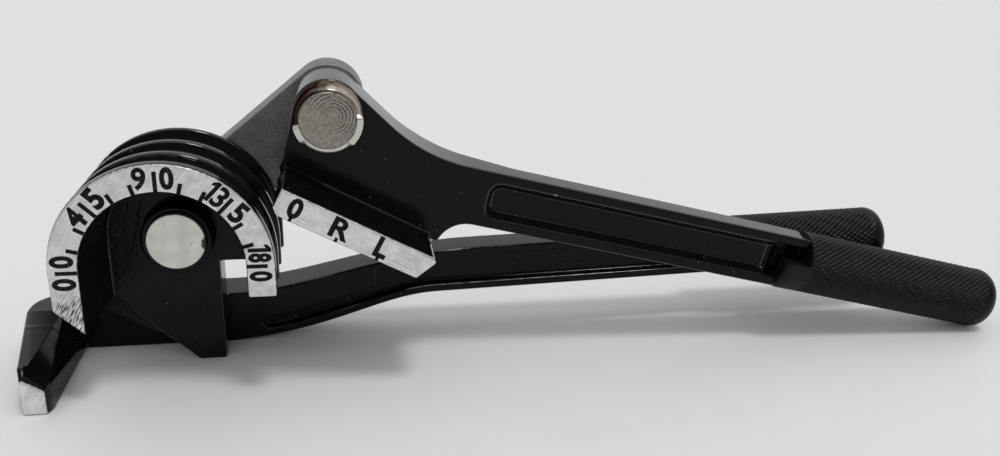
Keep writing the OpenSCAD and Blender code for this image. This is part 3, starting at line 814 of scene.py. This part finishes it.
def ground_head(name):
    """Ground pin head: pale and satin, with a few dark pits and a dark patch over one side of its rim."""
    material, place = begin_finish(name)
    x, _, z = place.apart()
    patch_x = 9.0
    patch_z = 34.4
    ragged = (place.noise(0.9, 3.0) - 0.5) * 1.6
    # A dark, non-metallic patch over one side of the head's rim.
    paint = 1.0 - (place.beyond(x - patch_x, z - patch_z) + ragged).rise(2.6, 2.9)
    pits = place.larger(place.specks(0.5, 0.09, 0.30), place.specks(1.5, 0.15, 0.06))
    cloud = place.noise(0.28, 4.0)
    lines = place.hatch(radians(20), 6.0, 0.2)
    dark = place.larger(paint, pits)
    satin = (cloud * 0.85 + lines * 0.15).rise(0.3, 0.7).mix((0.66, 0.65, 0.60, 1), (0.88, 0.87, 0.82, 1))
    end_finish(place, lines * 0.4 - pits * 3.0, 0.02 * mm, {
        "Base Color": dark.mix(satin, (0.03, 0.03, 0.03, 1)),
        "Metallic": 1.0 - dark,
        "Roughness": 0.36 + cloud * 0.16,
    })
    return material


def plain_enamel(name):
    """Gloss black enamel on a small turned piece."""
    material, place = begin_finish(name)
    cloud = place.noise(0.8, 3.0)
    end_finish(place, place.noise(1.4, 2.0), 0.02 * mm, {
        "Base Color": cloud.mix((0.002, 0.002, 0.0025, 1), (0.006, 0.006, 0.0065, 1)),
        "Roughness": 0.12 + cloud * 0.12,
        "Specular IOR Level": 0.14,
    })
    return material


die_seat = -15.7 * mm
die_head = 7.2 * mm
die_bead = 0.75 * mm
pin_bore = 5.04 * mm
fit_piece("die_pin_ground", pin_shape("die_pin", die_seat), ground_head("die_pin_steel"),
          "base", "pin_steel", "die_pin")
die_collar = collar_shape("die_pin_collar", die_head, die_bead)
fit_piece("die_collar_black", die_collar, plain_enamel("die_collar_enamel"),
          "base", "dark_collar", "die_pin_collar")
zinc = plain_metal("washer_zinc", (0.66, 0.66, 0.64), 0.7, 1.0)
fit_piece("die_rear_washer_zinc", washer_shape("die_rear_washer", pin_bore), zinc,
          "base", "washer", "die_rear_washer")


# Lever with its slide block: a second aluminium casting in the same black. The block's front is milled
# bare like the ring, and knocks have chipped the paint round the block's far end.
def lever_blemish(place, x, y, z):
    """Nibs of dust under the lever's paint, and edges knocked bare round the end of the slide block."""
    toe_x = 62.0
    toe_z = 34.5
    toe = 1.0 - place.beyond(x - toe_x, z - toe_z).rise(5.0, 9.0)
    chips = toe * (0.0 - y).rise(24.0, 26.0)
    nibs = place.specks(0.30, 0.11, 0.35) * 5.0
    flecks = place.noise(0.5).rise(0.80, 0.82)
    return flecks, place.noise(0.25, 2.0) * 0.6 + nibs, chips


lever_paint = cast_paint("lever_black_enamel", radians(28), lever_blemish)
lever_mesh = eased_copy("slide_lever", cast_rounding)
fit_piece("lever_and_slide", lever_mesh, lever_paint, "lever_arm", "black_paint", "slide_lever")


# Index marks on the slide block: a zero and one letter for each way of bending, punched and inked like
# the dial, each over a short tick at the edge that meets the tube.
lever_axis = pivot("lever_swing")
lever_slope = radians(13.81)
block_slope = lever_slope + radians(14)
block_right = Vector((cos(block_slope), 0.0, -sin(block_slope)))
block_up = Vector((sin(block_slope), 0.0, cos(block_slope)))
working_edge = -22.9 * mm
letter_height = 5.2 * mm
letter_middle = -19.35 * mm
# Each row is a character, its place along the block and its width, both in millimetres.
index_marks = (("0", 1.3, 3.3), ("R", 12.8, 4.9), ("L", 23.4, 3.2))
tick_height = 1.1 * mm
tick_width = 0.8 * mm
tick_inset = 0.15 * mm


def on_block(along, above):
    """A point of the block's milled front, from the lever's pivot along and square to the working edge."""
    spot = lever_axis + block_right * along + block_up * above
    spot.y = milled_face
    return spot


def index_mark(text, along, width):
    """One character of the index."""
    middle = on_block(along * mm, letter_middle)
    return stamped(text, width * mm, letter_height, block_right, block_up, middle)


def index_tick(along):
    """The tick under a character, at the working edge."""
    middle = on_block(along * mm, working_edge + tick_inset + tick_height / 2)
    return stamped("I", tick_width, tick_height, block_right, block_up, middle)


index_meshes = [index_mark(*row) for row in index_marks] + [index_tick(row[1]) for row in index_marks]
fit_piece("index_letters", joined(index_meshes), stamp_ink("index_ink"), "lever_arm", "black_paint")


# Lever grip: the longer of the two sleeves, of the same matte black plastic and with the same ridges. It is
# pressed onto the tang at the end of the lever bar.
lever_along = Vector((cos(lever_slope), 0.0, -sin(lever_slope)))
lever_above = Vector((sin(lever_slope), 0.0, cos(lever_slope)))
lever_grip_out = 128 * mm
lever_grip_drop = 12.7 * mm
lever_grip_length = 68.8 * mm
lever_grip_depth = -18.5 * mm
lever_grip_start = lever_axis + lever_along * lever_grip_out - lever_above * lever_grip_drop
lever_grip_start.y = lever_grip_depth
grip("lever_grip", lever_grip_length, lever_grip_start, -lever_slope, "lever_arm")


# Lever pivot: a like pin, left as it came off the lathe, with rings on its face. Its collar is heat-browned
# steel with a round shoulder and a lip hammered out below. A zinced washer lies under the riveted end.
def lathe_face(name):
    """Turned pin face: off-centre rings over pitted grey metal, painted darker towards the upper right as
    shade in the grooves.
    """
    material, place = begin_finish(name)
    x, _, z = place.apart()
    across = x - lever_axis.x / mm
    along = z - lever_axis.z / mm
    off_right = 1.2
    off_up = 1.0
    feed_step = 0.8
    swirl = place.beyond(across - off_right, along - off_up)
    passes = {"W": swirl * 0.8 + place.noise(0.3, 2.0), "Detail": 1.0}
    depth = place.node("ShaderNodeTexNoise", {"noise_dimensions": "1D"}, passes, out="Fac").rise(0.38, 0.62)
    feed = place.math("SINE", swirl * (tau / feed_step) + place.noise(0.35, 2.0) * 5.0).rise(0.2, 0.9)
    # The rings are darker towards the upper right: painted shade in the grooves on that side, over real
    # turning marks.
    painted_shade_rings = feed * depth * (0.12 + (across + along).rise(-2.5, 4.0) * 0.78) * swirl.rise(0.6, 2.2)
    pits = place.specks(1.1, 0.2, 0.25)
    worn_skin = place.noise(1.5, 5.0).rise(0.3, 0.7)
    grey = worn_skin.mix((0.26, 0.238, 0.205, 1), (0.41, 0.38, 0.34, 1))
    dark = place.larger(painted_shade_rings, pits * 0.8)
    end_finish(place, place.noise(1.4, 3.0) * 0.3 - painted_shade_rings * 1.6 - pits, 0.05 * mm, {
        "Base Color": dark.mix(grey, (0.02, 0.018, 0.016, 1)),
        "Metallic": 1.0,
        "Roughness": 0.36 + worn_skin * 0.1,
    })
    return material


def browned_steel(name):
    """Heat-browned steel with painted reflection: dark on the left, pale on the right and top, and a pale
    hammered lip below.
    """
    material, place = begin_finish(name)
    x, y, z = place.apart()
    across = x - lever_axis.x / mm
    along = z - lever_axis.z / mm
    lip_tilt = 0.175
    lip_level = 0.27
    streak = place.noise(0.55, 4.0)
    # Dark on the left, pale on the right and brighter at the top: heat tint, with a painted reflection and
    # highlight on the bead.
    heat_tint_and_reflection = (across * 0.08 + along * 0.03 + streak - 0.38).rise(0.0, 0.8)
    tint = heat_tint_and_reflection.mix((0.042, 0.033, 0.03, 1), (0.52, 0.45, 0.39, 1))
    lip = (lip_tilt * across - along + lip_level).rise(-0.2, 0.2) * (0.0 - y).rise(28.9, 29.4)
    end_finish(place, place.noise(2.5, 2.0), 0.01 * mm, {
        "Base Color": lip.mix(tint, (0.74, 0.72, 0.68, 1)),
        "Metallic": 1.0,
        "Roughness": 0.20 + streak * 0.16 + lip * 0.14,
        "Specular Tint": (0.33, 0.28, 0.26, 1),
    })
    return material


def hammered_lip(turn):
    """How far the collar's front is spread, from 0 to 1, at an angle round it. The blows are in degrees."""
    left_blow = (-172, -138)
    right_blow = (-50, 6)
    between = 0.5
    spot = (turn + pi) % tau - pi
    if any(radians(first) < spot < radians(last) for first, last in (left_blow, right_blow)):
        return 1.0
    return between if radians(left_blow[1]) < spot < radians(right_blow[0]) else 0.0


def swaged_collar(node, head):
    """Ring round a pin's head: a long round shoulder above, and a flat lip below, hammered out unevenly."""
    low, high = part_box(node)
    axis = (low + high) / 2
    outer = (high.x - low.x) / 2
    inner = head + collar_gap
    shoulder = high.y - 1.5 * mm
    plain_stand = 0.3 * mm
    lip_stand = 0.7 * mm
    least_rim = 0.15 * mm
    rim_spread = outer - inner - 0.2 * mm
    rim_flat = 0.1 * mm
    rim_break = 0.05 * mm

    def section(turn):
        share = sum(hammered_lip(turn + radians(step)) for step in (-3, 0, 3)) / 3
        front = low.y - plain_stand - lip_stand * share
        rim = inner + least_rim + rim_spread * share
        loop = [(inner, high.y), (inner, front), (rim - rim_flat, front)]
        for rise, fall in quarter(10):
            loop.append((rim + (outer - rim) * rise, shoulder + (front - shoulder + rim_break) * fall))
        return loop + [(outer, high.y)]

    return turned(node + "_turned", section, axis, closed=True)


lever_seat = -23.0 * mm
lever_head = 6.8 * mm
fit_piece("lever_pin_turned", pin_shape("lever_pin", lever_seat), lathe_face("lever_pin_steel"),
          "lever_arm", "pin_steel", "lever_pin")
lever_collar = swaged_collar("lever_pin_collar", lever_head)
fit_piece("lever_collar_browned", lever_collar, browned_steel("browned_steel"),
          "lever_arm", "dark_collar", "lever_pin_collar")
fit_piece("lever_rear_washer_zinc", washer_shape("lever_rear_washer", pin_bore), zinc,
          "lever_arm", "washer", "lever_rear_washer")


# Floor and light: a plain pale sheet under one soft light, above and a little in front of the tool, as from
# a bright ceiling. The surround is pale to the eye, and shiny parts mirror a room that is darker in front
# of the tool and brighter behind it and overhead.
floor_reach = 4.0
floor_corners = [(across * floor_reach, along * floor_reach, 0.0)
                 for across, along in ((-1, -1), (1, -1), (1, 1), (-1, 1))]
floor_mesh = bpy.data.meshes.new("floor")
floor_mesh.from_pydata(floor_corners, [], [(0, 1, 2, 3)])
floor = scratch_object("floor", floor_mesh)
floor_paper, paper_place = begin_finish("floor_paper")
paper = paper_place.noise(0.05, 2.0)
end_finish(paper_place, paper, 0.01 * mm, {
    "Base Color": paper.mix((0.77, 0.775, 0.77, 1), (0.80, 0.805, 0.80, 1)),
    "Roughness": 0.5,
})
floor_mesh.materials.append(floor_paper)

ceiling = bpy.data.lights.new("ceiling_light", "SUN")
ceiling.energy = 1.0
ceiling.angle = radians(12)
light_runs = Vector((-0.17, 0.30, -0.94))
holder = scratch_object("ceiling_light", ceiling)
holder.rotation_euler = light_runs.to_track_quat("-Z", "Y").to_euler()
world = bpy.data.worlds.new("surround")
world.use_nodes = True
world.node_tree.nodes.clear()
ray = Wire(world.node_tree).node("ShaderNodeLightPath", out="Is Camera Ray")
seen = ray.larger(ray, ray.out("Is Transmission Ray"))
mirrored = ray.out("Is Glossy Ray") * (1.0 - seen)
ahead, above = ray.node("ShaderNodeTexCoord", out="Generated").apart()[1:]
room = 0.2 + ahead.rise(-0.3, 0.5) * 0.56 + above.rise(0.55, 0.9) * 0.5
to_eye = 0.9
to_matt = 0.66
glow = seen * to_eye + mirrored * room + (1.0 - seen - mirrored) * to_matt
sky = ray.node("ShaderNodeBackground", {}, {"Color": (0.98, 0.99, 0.99, 1), "Strength": glow})
ray.node("ShaderNodeOutputWorld", {}, {"Surface": sky})
bpy.context.scene.world = world
bpy.context.scene.view_settings.view_transform = "Standard"
